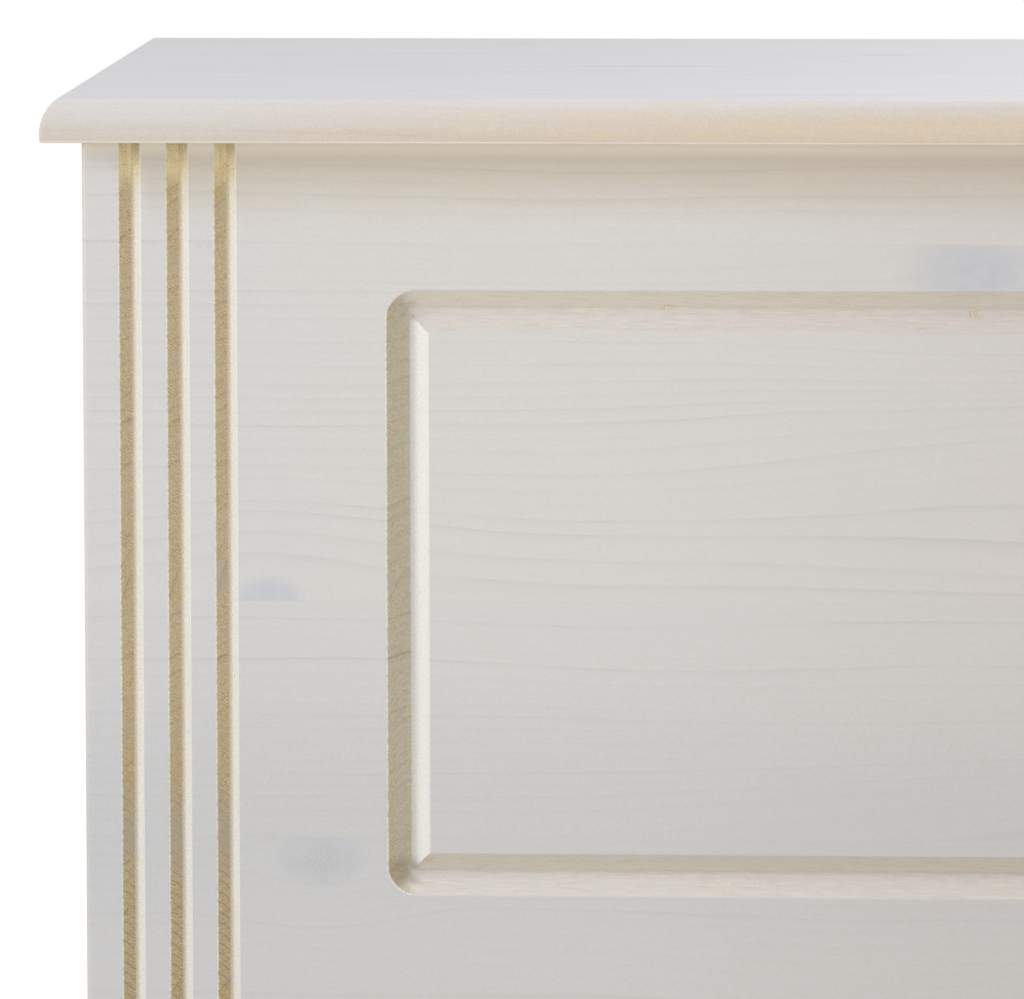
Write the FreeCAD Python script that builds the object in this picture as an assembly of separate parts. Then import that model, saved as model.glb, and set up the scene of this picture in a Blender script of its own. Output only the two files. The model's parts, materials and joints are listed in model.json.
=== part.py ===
"""Storage chest in whitewashed pine: a glued box with a fluted front and a routed field, a hinged lid
with a rounded edge, two butt hinges and two slotted lid stays.

Millimetres. +Z is up, +X is the right-hand end and the front faces -Y. The origin is on the floor, under
the middle of the whole outline, hinge barrels included.
"""

import FreeCAD, Part
import math
import os

Vector = FreeCAD.Vector
X_AXIS = Vector(1, 0, 0)
Y_AXIS = Vector(0, 1, 0)
Z_AXIS = Vector(0, 0, 1)

# Overall sizes
lid_width = 800.0
lid_depth = 400.0
chest_height = 400.0

# Boards
lid_thickness = 18.0
panel_thickness = 18.0
bottom_thickness = 8.0
side_overhang = 16.0
front_overhang = 16.0
lid_gap = 1.0

# Lid edge: a large arc that meets the flat top in a crease, over a short upright
lid_arc_radius = 18.0
lid_upright = 4.0
lid_arris = 1.0

# Front panel: upright flutes at both ends and a field bounded by a routed groove
front_arris = 2.0
flute_count = 3
flute_inset = 20.0
flute_pitch = 20.0
flute_width = 8.5
flute_depth = 3.8
flute_tip_radius = 1.2
groove_width = 17.7
groove_depth = 6.2
groove_tip_radius = 2.6
groove_turn_radius = 3.5
groove_end_inset = 136.0
groove_edge_inset = 70.0

# Inner frame
post_width = 28.0
post_chamfer = 3.0
post_top_drop = 24.0
cleat_width = 20.0
cleat_height = 20.0
cleat_lift = 8.0
cleat_end_gap = 1.0
bottom_side_gap = 0.5
notch_gap = 1.0
batten_width = 40.0
batten_thickness = 18.0
batten_end_gap = 24.0
batten_chamfer = 8.0
batten_side_inset = 84.0

# Butt hinges
hinge_length = 60.0
hinge_end_inset = 120.0
hinge_leaf_width = 14.0
hinge_leaf_thickness = 1.5
hinge_leaf_gap = 0.5
hinge_setback = 4.0
knuckle_radius = 3.5
knuckle_count = 3
knuckle_end_gap = 0.3
knuckle_side_gap = 0.5
hinge_pin_radius = 1.6
hinge_pin_clearance = 0.05
hinge_pin_head_radius = 2.8
hinge_pin_head_thickness = 1.0
recess_side_gap = 0.3
hinge_hole_count = 3
hinge_screw_radius = 1.5
hinge_hole_pitch = 20.0
hinge_hole_setback = 7.5

# Lid stays: a slotted bar that hangs from the lid and slides on a stud in the side panel.
# The bar's pivot and the stud are equally far from the hinge line, so the bar turns half as far as the lid.
lid_opening_angle = 95.0
stay_pivot_angle = 4.5
stay_rest_angle = 22.0
stay_floor_gap = 40.0
stay_bar_width = 16.0
stay_bar_thickness = 2.0
stay_side_gap = 0.3
stay_spacer_length = 3.0
stay_spacer_radius = 5.0
stay_stud_radius = 2.5
stay_stud_head_radius = 5.5
stay_stud_head_thickness = 2.0
stay_stud_depth = 12.0
stay_stud_clearance = 0.05
stay_slot_clearance = 0.35
stay_slot_spare = 4.0
stay_rivet_head_radius = 4.5
stay_rivet_head_thickness = 1.2
stay_pivot_clearance = 0.1
bracket_thickness = 2.0
bracket_length = 24.0
bracket_foot_width = 26.0
bracket_eye_radius = 9.0
bracket_screw_radius = 1.6
bracket_hole_spacing = 13.0
bracket_hole_setback = 8.0

# Floor glides and lid bumpers
glide_radius = 10.0
glide_thickness = 4.0
bumper_radius = 5.0
bumper_clearance = 0.1
bumper_end_inset = 45.0

# How far a cutting shape runs past the face that it opens
overrun = 5.0

# Places that follow from the sizes above
hinge_reach = hinge_setback + knuckle_radius
lid_front = -(lid_depth + hinge_reach) / 2
lid_back = lid_front + lid_depth
lid_bottom = chest_height - lid_thickness
carcass_top = lid_bottom - lid_gap
carcass_bottom = glide_thickness
carcass_width = lid_width - 2 * side_overhang
carcass_front = lid_front + front_overhang
carcass_back = lid_back
panel_height = carcass_top - carcass_bottom
side_outer = carcass_width / 2
side_inner = side_outer - panel_thickness
front_inner = carcass_front + panel_thickness
back_inner = carcass_back - panel_thickness
cleat_bottom = carcass_bottom + cleat_lift
cleat_top = cleat_bottom + cleat_height
hinge_y = lid_back + hinge_setback
hinge_z = lid_bottom - lid_gap / 2
hinge_x = side_outer - hinge_end_inset
batten_x = side_inner - batten_side_inset


def block(low, high):
    """A box between two opposite corners."""
    size = high - low
    return Part.makeBox(size.x, size.y, size.z, low)


def rod(radius, start, end):
    """A round bar from one point to another."""
    along = end - start
    return Part.makeCylinder(radius, along.Length, start, along)


def mirrored(shape):
    """The same piece for the left-hand end."""
    return shape.mirror(Vector(0, 0, 0), X_AXIS)


def both(right_piece):
    """A right-hand piece with its left-hand twin."""
    return [right_piece, mirrored(right_piece)]


def cutter_face(width, depth, tip_radius):
    """The section of a vee cutter with a round tip: width along X, depth along +Y, open above the face."""
    half = width / 2
    tip_centre = depth - tip_radius
    to_edge = math.hypot(half, tip_centre)
    lean = math.atan2(-tip_centre, half) + math.acos(tip_radius / to_edge)
    touch_x = tip_radius * math.cos(lean)
    touch_y = tip_centre + tip_radius * math.sin(lean)
    right, left = Vector(half, 0, 0), Vector(-half, 0, 0)
    right_touch, left_touch = Vector(touch_x, touch_y, 0), Vector(-touch_x, touch_y, 0)
    above = Vector(0, -overrun, 0)
    edges = [
        Part.LineSegment(left + above, left).toShape(),
        Part.LineSegment(left, left_touch).toShape(),
        Part.Arc(left_touch, Vector(0, depth, 0), right_touch).toShape(),
        Part.LineSegment(right_touch, right).toShape(),
        Part.LineSegment(right, right + above).toShape(),
        Part.LineSegment(right + above, left + above).toShape(),
    ]
    return Part.Face(Part.Wire(edges))


def flute_cutters():
    """Upright cuts through the whole height of the front, the same number at each end."""
    face = cutter_face(flute_width, flute_depth, flute_tip_radius)
    run = face.extrude(Z_AXIS * (panel_height + 2 * overrun))
    cuts = []
    for i in range(flute_count):
        from_middle = side_outer - flute_inset - i * flute_pitch
        for x in (-from_middle, from_middle):
            place = Vector(x, carcass_front, carcass_bottom - overrun)
            cuts.append(run.translated(place))
    return cuts


def groove_cutters():
    """The path of a turning cutter round the field: straight runs, and a quarter turn at each corner.

    The turn is tighter than the cutter is wide, so the groove is round outside and mitred inside.
    """
    face = cutter_face(groove_width, groove_depth, groove_tip_radius)
    half_x = side_outer - groove_end_inset
    middle_z = (carcass_top + carcass_bottom) / 2
    half_z = panel_height / 2 - groove_edge_inset
    turn_x, turn_z = half_x - groove_turn_radius, half_z - groove_turn_radius
    centre = Vector(0, carcass_front, middle_z)
    upright = face.extrude(Z_AXIS * (2 * turn_z))
    level = face.extrude(Z_AXIS * (2 * turn_x))
    level.rotate(Vector(0, 0, 0), Y_AXIS, 90)
    cuts = [upright.translated(centre + Vector(x, 0, -turn_z)) for x in (-half_x, half_x)]
    cuts += [level.translated(centre + Vector(-turn_x, 0, z)) for z in (-half_z, half_z)]
    reach = groove_turn_radius + groove_width
    outer_side = block(Vector(0, -reach, -overrun), Vector(reach, reach, overrun))
    outward = face.translated(X_AXIS * groove_turn_radius).common(outer_side).Faces[0]
    corners = [(turn_x, -turn_z), (-turn_x, -turn_z), (-turn_x, turn_z), (turn_x, turn_z)]
    for quarter, (x, z) in enumerate(corners):
        turn = outward.revolve(Vector(0, 0, 0), Y_AXIS, 90)
        turn.rotate(Vector(0, 0, 0), Y_AXIS, 90 * quarter)
        cuts.append(turn.translated(centre + Vector(x, 0, z)))
    return cuts


def front_panel():
    """One board across the whole front: its ends show, so their front edges are rounded over."""
    back_left, back_right = Vector(-side_outer, front_inner, 0), Vector(side_outer, front_inner, 0)
    turn = Vector(0, front_arris, 0)
    right_edge, left_edge = Vector(side_outer, carcass_front, 0), Vector(-side_outer, carcass_front, 0)
    in_x = X_AXIS * front_arris
    bulge = front_arris * (1 - math.sqrt(0.5))
    right_mid = right_edge + Vector(-bulge, bulge, 0)
    left_mid = left_edge + Vector(bulge, bulge, 0)
    edges = [
        Part.LineSegment(back_left, back_right).toShape(),
        Part.LineSegment(back_right, right_edge + turn).toShape(),
        Part.Arc(right_edge + turn, right_mid, right_edge - in_x).toShape(),
        Part.LineSegment(right_edge - in_x, left_edge + in_x).toShape(),
        Part.Arc(left_edge + in_x, left_mid, left_edge + turn).toShape(),
        Part.LineSegment(left_edge + turn, back_left).toShape(),
    ]
    board = Part.Face(Part.Wire(edges)).extrude(Z_AXIS * panel_height)
    board = board.translated(Z_AXIS * carcass_bottom)
    cutters = flute_cutters()
    grooves = groove_cutters()
    cutters.append(grooves[0].fuse(grooves[1:]).removeSplitter())
    for cutter in cutters:
        board = board.cut(cutter)
    return board


def right_side_panel():
    low = Vector(side_inner, front_inner, carcass_bottom)
    board = block(low, Vector(side_outer, carcass_back, carcass_top))
    return board.cut(right_stay_stud(stay_stud_clearance))


def back_panel():
    low = Vector(-side_inner, back_inner, carcass_bottom)
    board = block(low, Vector(side_inner, carcass_back, carcass_top))
    for x in (-hinge_x, hinge_x):
        board = board.cut(leaf_recess(x, upper=False))
    return board


def bottom_panel():
    """A thin sheet on the cleats, notched round the corner posts."""
    half_x = side_inner - bottom_side_gap
    low = Vector(-half_x, front_inner + bottom_side_gap, cleat_top)
    sheet = block(low, Vector(half_x, back_inner - bottom_side_gap, cleat_top + bottom_thickness))
    notch = post_width + notch_gap
    for x in (-side_inner, side_inner - notch):
        for y in (front_inner, back_inner - notch):
            low = Vector(x, y, cleat_top - overrun)
            sheet = sheet.cut(block(low, low + Vector(notch, notch, bottom_thickness + 2 * overrun)))
    return sheet


def corner_post(side, inner_y, inward):
    """A square post in a corner, bevelled on the edge that faces the inside."""
    low_z, high_z = carcass_bottom, carcass_top - post_top_drop
    far_x, far_y = side * (side_inner - post_width), inner_y + inward * post_width
    bevel_x, bevel_y = far_x + side * post_chamfer, far_y - inward * post_chamfer
    outline = [
        Vector(side * side_inner, inner_y, low_z),
        Vector(far_x, inner_y, low_z),
        Vector(far_x, bevel_y, low_z),
        Vector(bevel_x, far_y, low_z),
        Vector(side * side_inner, far_y, low_z),
        Vector(side * side_inner, inner_y, low_z),
    ]
    return Part.Face(Part.makePolygon(outline)).extrude(Z_AXIS * (high_z - low_z))


def floor_glides():
    """A disc under each corner post."""
    glides = []
    for side in (-1, 1):
        for inner_y, inward in ((front_inner, 1), (back_inner, -1)):
            middle = side_inner - post_width / 2
            foot = Vector(side * middle, inner_y + inward * post_width / 2, 0)
            glides.append(rod(glide_radius, foot, foot + Z_AXIS * glide_thickness))
    return glides


def long_cleat(inner_y, inward):
    """A strip along the front or the back that the bottom panel lies on, between the posts."""
    half = side_inner - post_width - cleat_end_gap
    ys = sorted((inner_y, inner_y + inward * cleat_width))
    return block(Vector(-half, ys[0], cleat_bottom), Vector(half, ys[1], cleat_top))


def right_cleat():
    """A strip along the right-hand side, between the posts."""
    inset = post_width + cleat_end_gap
    low = Vector(side_inner - cleat_width, front_inner + inset, cleat_bottom)
    return block(low, Vector(side_inner, back_inner - inset, cleat_top))


def lid_edge(edge, inward):
    """The lid's shaped edge from its underside to the crease at its top, in a plane across that edge.

    edge is the outermost point at the height of the underside, and inward points to the lid's middle.
    """
    rise = lid_thickness - lid_upright
    crease_in = lid_arc_radius - math.sqrt(lid_arc_radius**2 - rise**2)
    half_rise = rise / 2
    middle_in = lid_arc_radius - math.sqrt(lid_arc_radius**2 - half_rise**2)
    underside = edge + inward * lid_arris
    arris_middle = edge + (inward + Z_AXIS) * (lid_arris * (1 - math.sqrt(0.5)))
    arris_top = edge + Z_AXIS * lid_arris
    arc_start = edge + Z_AXIS * lid_upright
    arc_middle = edge + inward * middle_in + Z_AXIS * (lid_upright + half_rise)
    crease = edge + inward * crease_in + Z_AXIS * lid_thickness
    curves = [
        Part.Arc(underside, arris_middle, arris_top).toShape(),
        Part.LineSegment(arris_top, arc_start).toShape(),
        Part.Arc(arc_start, arc_middle, crease).toShape(),
    ]
    return curves, underside, crease


def lid_back_edge(edge, inward):
    """The lid's plain back edge, with both corners eased."""
    ease = lid_arris * (1 - math.sqrt(0.5))
    top = edge + Z_AXIS * lid_thickness
    underside, low = edge + inward * lid_arris, edge + Z_AXIS * lid_arris
    high, crease = top - Z_AXIS * lid_arris, top + inward * lid_arris
    curves = [
        Part.Arc(underside, edge + (inward + Z_AXIS) * ease, low).toShape(),
        Part.LineSegment(low, high).toShape(),
        Part.Arc(high, top + (inward - Z_AXIS) * ease, crease).toShape(),
    ]
    return curves, underside, crease


def lid_section(one_edge, other_edge, run):
    """A slab whose two edges have the given outlines, drawn out along run."""
    curves_a, under_a, crease_a = one_edge
    curves_b, under_b, crease_b = other_edge
    across = [Part.LineSegment(under_a, under_b).toShape(), Part.LineSegment(crease_a, crease_b).toShape()]
    outline = Part.Wire(Part.__sortEdges__(curves_a + curves_b + across))
    return Part.Face(outline).extrude(run)


def lid_board():
    """The lid's slab: shaped across its width and across its depth, so the edges meet in mitres."""
    half = lid_width / 2
    across = lid_section(
        lid_edge(Vector(-half, lid_front - overrun, lid_bottom), X_AXIS),
        lid_edge(Vector(half, lid_front - overrun, lid_bottom), -X_AXIS),
        Y_AXIS * (lid_depth + 2 * overrun),
    )
    along = lid_section(
        lid_edge(Vector(-half - overrun, lid_front, lid_bottom), Y_AXIS),
        lid_back_edge(Vector(-half - overrun, lid_back, lid_bottom), -Y_AXIS),
        X_AXIS * (lid_width + 2 * overrun),
    )
    board = across.common(along)
    for x in (-hinge_x, hinge_x):
        board = board.cut(leaf_recess(x, upper=True))
    return board


def right_lid_batten():
    """A bar across the underside of the lid that keeps it flat, bevelled at both ends."""
    low_y, high_y = front_inner + batten_end_gap, back_inner - batten_end_gap
    low_z = lid_bottom - batten_thickness
    x = batten_x - batten_width / 2
    outline = [
        Vector(x, low_y, lid_bottom),
        Vector(x, high_y, lid_bottom),
        Vector(x, high_y, low_z + batten_chamfer),
        Vector(x, high_y - batten_chamfer, low_z),
        Vector(x, low_y + batten_chamfer, low_z),
        Vector(x, low_y, low_z + batten_chamfer),
        Vector(x, low_y, lid_bottom),
    ]
    return Part.Face(Part.makePolygon(outline)).extrude(X_AXIS * batten_width)


def leaf_level(upper):
    """The lowest and highest Z of a hinge leaf, with the hinge closed."""
    near = hinge_leaf_gap / 2
    far = near + hinge_leaf_thickness
    return (hinge_z + near, hinge_z + far) if upper else (hinge_z - far, hinge_z - near)


def leaf_recess(x, upper):
    """The pocket that a leaf is let into, in the lid or in the top of the back panel."""
    low_z, high_z = leaf_level(upper)
    reach = hinge_length / 2 + recess_side_gap
    low_y, high_y = lid_back - hinge_leaf_width - recess_side_gap, lid_back + overrun
    if upper:
        return block(Vector(x - reach, low_y, lid_bottom - overrun), Vector(x + reach, high_y, high_z))
    return block(Vector(x - reach, low_y, low_z), Vector(x + reach, high_y, carcass_top + overrun))


def countersink(radius, mouth, seat):
    """A hole that widens at 45 degrees from the screw's radius at its seat to its mouth."""
    along = seat - mouth
    return Part.makeCone(radius + along.Length, radius, along.Length, mouth, along)


def leaf_holes(x, upper):
    """The countersunk screw holes through one leaf, open towards the other leaf."""
    low_z, high_z = leaf_level(upper)
    mouth_z, seat_z = (low_z, high_z) if upper else (high_z, low_z)
    first = x - hinge_hole_pitch * (hinge_hole_count - 1) / 2
    y = lid_back - hinge_hole_setback
    holes = []
    for i in range(hinge_hole_count):
        place = first + i * hinge_hole_pitch
        holes.append(countersink(hinge_screw_radius, Vector(place, y, mouth_z), Vector(place, y, seat_z)))
    return holes


def knuckle_spans(x, upper):
    """Where a leaf's own knuckles start and end along X. The lower leaf has the outer ones."""
    pitch = hinge_length / knuckle_count
    first = 1 if upper else 0
    start = x - hinge_length / 2 + knuckle_end_gap / 2
    span = pitch - knuckle_end_gap
    return [(start + i * pitch, start + i * pitch + span) for i in range(first, knuckle_count, 2)]


def hinge_rod(radius, low_x, high_x):
    """A bar on the hinge line."""
    return rod(radius, Vector(low_x, hinge_y, hinge_z), Vector(high_x, hinge_y, hinge_z))


def hinge_leaf(x, upper):
    """A leaf with its knuckles, its screw holes and room for the other leaf's knuckles."""
    low_z, high_z = leaf_level(upper)
    reach = hinge_length / 2
    low = Vector(x - reach, lid_back - hinge_leaf_width, low_z)
    leaf = block(low, Vector(x + reach, hinge_y, high_z))
    room = knuckle_radius + knuckle_side_gap
    for start, end in knuckle_spans(x, not upper):
        leaf = leaf.cut(hinge_rod(room, start - knuckle_end_gap, end + knuckle_end_gap))
    bore = hinge_pin_radius + hinge_pin_clearance
    knuckles = [hinge_rod(knuckle_radius, start, end) for start, end in knuckle_spans(x, upper)]
    leaf = leaf.fuse(knuckles).cut(hinge_rod(bore, x - reach - overrun, x + reach + overrun))
    return leaf.cut(Part.Compound(leaf_holes(x, upper))).removeSplitter()


def hinge_pin(x):
    """A pin with a button at each end."""
    reach = hinge_length / 2 + knuckle_end_gap
    outer = reach + hinge_pin_head_thickness
    heads = [hinge_rod(hinge_pin_head_radius, x + reach, x + outer)]
    heads.append(hinge_rod(hinge_pin_head_radius, x - outer, x - reach))
    return hinge_rod(hinge_pin_radius, x - outer, x + outer).fuse(heads).removeSplitter()


def chord_share(angle):
    """The straight reach between two points on a circle, an angle apart, for a radius of one."""
    return 2 * math.sin(math.radians(angle / 2))


def largest_stay_radius():
    """The radius at which the hanging bar just keeps its gap over the bottom panel."""
    lean = math.radians(stay_pivot_angle + stay_rest_angle / 2)
    hang_share = chord_share(stay_rest_angle + lid_opening_angle) * math.cos(lean)
    drop_share = math.sin(math.radians(stay_pivot_angle))
    room = hinge_z - cleat_top - bottom_thickness - stay_floor_gap - stay_bar_width / 2
    return room / (drop_share + hang_share)


def hinge_polar(angle):
    """The point at the stay's radius from the hinge line, at an angle below the level towards the front."""
    turn = math.radians(angle)
    return Vector(0, hinge_y - stay_radius * math.cos(turn), hinge_z - stay_radius * math.sin(turn))


stay_radius = largest_stay_radius()
stay_pivot = hinge_polar(stay_pivot_angle)
stay_stud_point = hinge_polar(stay_pivot_angle + stay_rest_angle)
stay_least_reach = stay_radius * chord_share(stay_rest_angle)
stay_most_reach = stay_radius * chord_share(stay_rest_angle + lid_opening_angle)
bar_outer = side_inner - stay_spacer_length - stay_side_gap
bar_inner = bar_outer - stay_bar_thickness
bracket_outer = bar_inner - stay_side_gap
bracket_inner = bracket_outer - bracket_thickness


def capsule(length, half_width, thickness):
    """A flat bar with round ends: its first centre at the origin, its length along Y, drawn out along X."""
    low, high = Vector(0, 0, -half_width), Vector(0, 0, half_width)
    far = Y_AXIS * length
    edges = [
        Part.LineSegment(low, low + far).toShape(),
        Part.Arc(low + far, far + Y_AXIS * half_width, high + far).toShape(),
        Part.LineSegment(high + far, high).toShape(),
        Part.Arc(high, -Y_AXIS * half_width, low).toShape(),
    ]
    return Part.Face(Part.Wire(edges)).extrude(X_AXIS * thickness)


def right_stay_arm():
    """The slotted bar, hung from its pivot on the lid and passing over the stud."""
    bar = capsule(stay_most_reach, stay_bar_width / 2, stay_bar_thickness)
    slot_start = stay_least_reach - stay_slot_spare
    slot_half = stay_stud_radius + stay_slot_clearance
    slot = capsule(stay_most_reach - slot_start, slot_half, stay_bar_thickness + 2 * overrun)
    bar = bar.cut(slot.translated(Vector(-overrun, slot_start, 0)))
    eye = rod(stay_stud_radius + stay_pivot_clearance, -X_AXIS * overrun, X_AXIS * overrun)
    bar = bar.cut(eye)
    towards_stud = stay_stud_point - stay_pivot
    lean = math.degrees(math.atan2(towards_stud.z, towards_stud.y))
    bar.rotate(Vector(0, 0, 0), X_AXIS, lean)
    return bar.translated(Vector(bar_inner, stay_pivot.y, stay_pivot.z))


def right_stay_stud(grow=0.0):
    """A headed stud in the side panel, which the slot slides on."""
    seat = bar_inner - stay_side_gap
    at = stay_stud_point
    head_point = Vector(seat - stay_stud_head_thickness, at.y, at.z)
    seat_point = Vector(seat, at.y, at.z)
    end_point = Vector(side_inner + stay_stud_depth + grow, at.y, at.z)
    shank = rod(stay_stud_radius + grow, seat_point, end_point)
    return rod(stay_stud_head_radius, head_point, seat_point).fuse(shank).removeSplitter()


def right_stay_spacer():
    """A bush on the stud that holds the bar off the side panel."""
    at = stay_stud_point
    ends = Vector(side_inner - stay_spacer_length, at.y, at.z), Vector(side_inner, at.y, at.z)
    run_past = X_AXIS * overrun
    bore = rod(stay_stud_radius + stay_pivot_clearance, ends[0] - run_past, ends[1] + run_past)
    return rod(stay_spacer_radius, *ends).cut(bore)


def right_stay_rivet():
    """The rivet that joins the bar to the bracket and lets it turn."""
    at = stay_pivot
    inner_end, outer_end = bracket_inner - stay_rivet_head_thickness, bar_outer + stay_side_gap
    spans = [(inner_end, bracket_inner), (outer_end, outer_end + stay_rivet_head_thickness)]
    heads = [rod(stay_rivet_head_radius, Vector(a, at.y, at.z), Vector(b, at.y, at.z)) for a, b in spans]
    shank = rod(stay_stud_radius, Vector(inner_end, at.y, at.z), Vector(spans[1][1], at.y, at.z))
    return shank.fuse(heads).removeSplitter()


def right_stay_bracket():
    """An angle under the lid: a screwed foot, and an ear that carries the rivet."""
    at = stay_pivot
    half = bracket_length / 2
    foot_low = Vector(bracket_outer - bracket_foot_width, at.y - half, lid_bottom - bracket_thickness)
    foot = block(foot_low, Vector(bracket_outer, at.y + half, lid_bottom))
    ear_low = Vector(bracket_inner, at.y - bracket_eye_radius, at.z)
    ear = block(ear_low, Vector(bracket_outer, at.y + bracket_eye_radius, lid_bottom))
    eye_ends = Vector(bracket_inner, at.y, at.z), Vector(bracket_outer, at.y, at.z)
    bracket = foot.fuse([ear, rod(bracket_eye_radius, *eye_ends)])
    run_past = X_AXIS * overrun
    bore = rod(stay_stud_radius + stay_pivot_clearance, eye_ends[0] - run_past, eye_ends[1] + run_past)
    holes = [bore]
    for y in (at.y - bracket_hole_spacing / 2, at.y + bracket_hole_spacing / 2):
        mouth = Vector(bracket_outer - bracket_foot_width + bracket_hole_setback, y, foot_low.z)
        holes.append(countersink(bracket_screw_radius, mouth, mouth + Z_AXIS * bracket_thickness))
    return bracket.cut(Part.Compound(holes)).removeSplitter()


def lid_bumpers():
    """Soft pads on the front panel's top edge, which the closed lid lies on."""
    x = side_outer - bumper_end_inset
    y = (carcass_front + front_inner) / 2
    top = lid_bottom - bumper_clearance
    return [rod(bumper_radius, Vector(p, y, carcass_top), Vector(p, y, top)) for p in (-x, x)]


def build():
    """Every node of the chest by name: one solid, or a list of like solids."""
    nodes = {
        "front_panel": front_panel(),
        "back_panel": back_panel(),
        "bottom_panel": bottom_panel(),
        "front_cleat": long_cleat(front_inner, 1),
        "back_cleat": long_cleat(back_inner, -1),
        "floor_glides": floor_glides(),
        "lid_bumpers": lid_bumpers(),
        "lid_board": lid_board(),
        "hinge_carcass_leaves": [hinge_leaf(x, upper=False) for x in (-hinge_x, hinge_x)],
        "hinge_lid_leaves": [hinge_leaf(x, upper=True) for x in (-hinge_x, hinge_x)],
        "hinge_pins": [hinge_pin(x) for x in (-hinge_x, hinge_x)],
        "stay_studs": both(right_stay_stud()),
        "stay_spacers": both(right_stay_spacer()),
        "stay_rivets": both(right_stay_rivet()),
        "stay_brackets": both(right_stay_bracket()),
    }
    for end, side in (("left", -1), ("right", 1)):
        nodes[f"front_{end}_post"] = corner_post(side, front_inner, 1)
        nodes[f"back_{end}_post"] = corner_post(side, back_inner, -1)
    handed = {
        "side_panel": right_side_panel(),
        "cleat": right_cleat(),
        "lid_batten": right_lid_batten(),
        "stay_arm": right_stay_arm(),
    }
    for name, shape in handed.items():
        nodes[f"right_{name}"] = shape
        nodes[f"left_{name}"] = mirrored(shape)
    return nodes


def main():
    os.makedirs("parts", exist_ok=True)
    for name, made in build().items():
        solids = made if isinstance(made, list) else made.Solids
        shape = solids[0] if len(solids) == 1 else Part.Compound(solids)
        shape.exportStep(os.path.join("parts", name + ".step"))
        volume = sum(solid.Volume for solid in solids)
        print(f"{name}: {len(solids)} solid(s), valid {shape.isValid()}, {volume:.0f} mm3")
    print(f"joints: lid hinge at y {hinge_y}, z {hinge_z}; stay pivots at y {stay_pivot.y}, z {stay_pivot.z}")


main()
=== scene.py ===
"""Looks of the storage chest: whitewashed pine, a fluted front with a routed field, and a hinged lid.

Metres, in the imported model's frame: +X is the right-hand end, the front faces -Y and +Z is up.
Inside the wood material, lengths are in millimetres.
"""

import json
import math
import random
from collections import namedtuple

import bmesh
import bpy
import numpy as np
from mathutils import Matrix, Vector


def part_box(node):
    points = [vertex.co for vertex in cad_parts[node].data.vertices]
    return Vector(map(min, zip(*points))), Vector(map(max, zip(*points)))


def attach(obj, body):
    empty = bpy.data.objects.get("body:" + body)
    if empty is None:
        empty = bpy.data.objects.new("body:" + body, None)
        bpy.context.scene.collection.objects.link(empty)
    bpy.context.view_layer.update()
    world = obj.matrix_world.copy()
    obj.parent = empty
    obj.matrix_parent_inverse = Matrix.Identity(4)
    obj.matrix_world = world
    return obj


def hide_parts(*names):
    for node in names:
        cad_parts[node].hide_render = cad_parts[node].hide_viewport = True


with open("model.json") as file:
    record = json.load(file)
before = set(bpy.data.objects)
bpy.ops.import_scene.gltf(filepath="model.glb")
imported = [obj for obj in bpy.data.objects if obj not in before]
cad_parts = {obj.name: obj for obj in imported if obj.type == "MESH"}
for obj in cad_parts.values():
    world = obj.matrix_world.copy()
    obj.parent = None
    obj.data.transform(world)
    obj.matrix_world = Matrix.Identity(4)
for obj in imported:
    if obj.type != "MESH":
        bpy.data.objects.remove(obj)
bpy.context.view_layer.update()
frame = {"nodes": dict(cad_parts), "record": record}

mm = 0.001
nodes = frame["nodes"]

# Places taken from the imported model
panel_low, panel_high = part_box("front_panel")
lid_low, lid_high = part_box("lid_board")
batten_low, batten_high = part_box("right_lid_batten")
bracket_low, bracket_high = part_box("stay_brackets")
cleat_low, cleat_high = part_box("right_cleat")
long_cleat_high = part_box("front_cleat")[1]
leaf_low, leaf_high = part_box("hinge_lid_leaves")
stay_y = (bracket_low.y + bracket_high.y) / 2

# Sizes that repeat the part's source
front_arris = 2.0 * mm
flute_count = 3
flute_inset = 20.0 * mm
flute_pitch = 20.0 * mm
flute_depth = 3.8 * mm
flute_tip = 1.2 * mm
groove_width = 17.7 * mm
groove_depth = 6.2 * mm
groove_tip = 2.6 * mm
groove_turn = 3.5 * mm
groove_end_inset = 136.0 * mm
groove_edge_inset = 70.0 * mm
lid_arc = 18.0 * mm
lid_upright = 4.0 * mm
lid_arris = 1.0 * mm
hinge_length = 60.0 * mm
hinge_leaf_width = 14.0 * mm
hinge_recess_gap = 0.3 * mm
hinge_hole_pitch = 20.0 * mm
hinge_hole_setback = 7.5 * mm
hinge_leaf_thickness = 1.5 * mm
hinge_leaf_gap = 0.5 * mm
bracket_thickness = 2.0 * mm
bracket_foot_width = 26.0 * mm
bracket_hole_spacing = 13.0 * mm
bracket_hole_setback = 8.0 * mm

# Sizes of what only the scene has
flute_width = 9.2 * mm
rim_softness = 0.22 * mm
front_rise = 0.7 * mm
fine_step = 0.3 * mm
guard = 0.6 * mm
widest_cell = 30.0 * mm
top_ease = 0.3 * mm
crease_ease = 0.7 * mm
lid_corner = 1.2 * mm
board_ease = 0.4 * mm
strip_ease = 0.7 * mm
sheet_ease = 0.25 * mm
leaf_screw_radius = 2.85 * mm
bracket_screw_radius = 3.4 * mm
wood_screw_radius = 4.0 * mm
leaf_screw_sink = 1.2 * mm
bracket_screw_sink = 1.6 * mm
wood_screw_sink = 3.0 * mm
screw_proud = 0.1 * mm
batten_screw_pitch = 118.0 * mm
cleat_screw_pitch = 240.0 * mm
side_cleat_screw_ys = (-80.0 * mm, 90.0 * mm)

smooth_below = math.radians(32)
eased_above = math.radians(30)


def srgb(red, green, blue):
    """A linear colour from the 0 to 255 values that a screen shows."""
    def linear(value):
        share = value / 255
        return share / 12.92 if share <= 0.04045 else ((share + 0.055) / 1.055) ** 2.4
    return (linear(red), linear(green), linear(blue), 1.0)


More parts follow.
